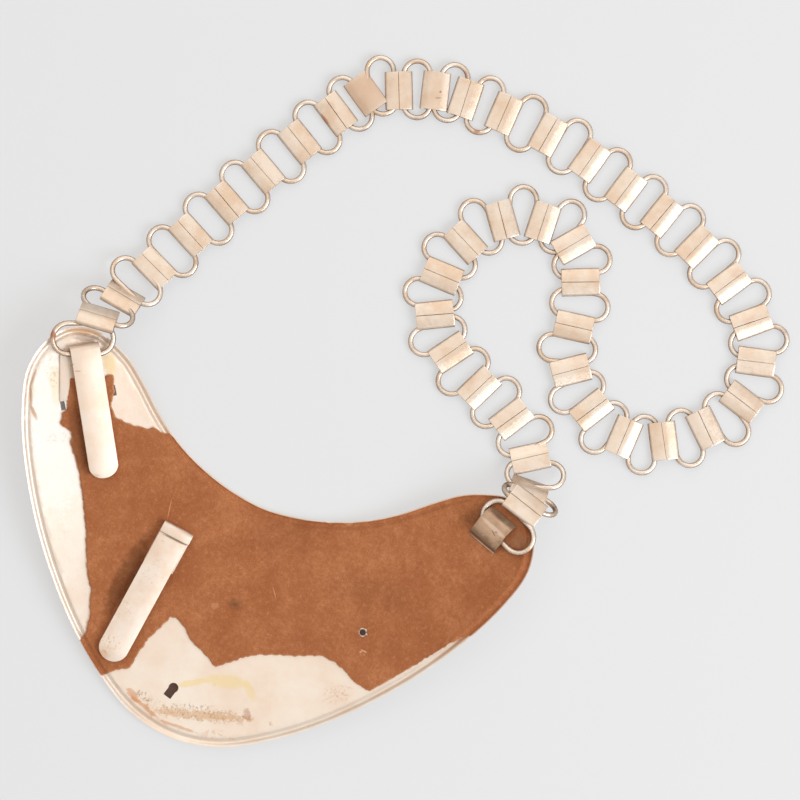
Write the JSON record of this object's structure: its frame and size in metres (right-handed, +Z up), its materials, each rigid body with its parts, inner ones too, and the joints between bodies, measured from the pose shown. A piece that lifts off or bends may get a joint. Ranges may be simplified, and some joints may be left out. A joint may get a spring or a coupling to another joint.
{
  "type": "gorget with neck chain",
  "caption": "Half-moon metal neck plate lying face down, with torn board backing, folded clips, a staple and a chain of folded bands and wire rings.",
  "frame": {"origin": "middle of the whole piece's footprint, on the surface that it lies on", "axes": "+X across the plate from the hook's end to the staple's end, +Y from the plate's lowest point towards the neck, +Z up, away from the surface"},
  "size_m": [0.281, 0.2932, 0.0234],
  "materials": {
    "plate_metal": "pale plated sheet, satin, with a few rust and glue stains",
    "board": "brown fibre board, matt, torn edges",
    "clip_metal": "pale plated strip, satin, lightly scratched",
    "staple_metal": "dull plated strip with brown tarnish",
    "chain_metal": "pale plated bands and wire, satin, tarnished in the corners"
  },
  "bodies": {
    "root": {"plate": "plate_metal", "backing": "board", "hook_tongue": "clip_metal", "wearing_clip": "clip_metal", "chain_staple": "staple_metal", "neck_chain": "chain_metal"}
  },
  "joints": []
}
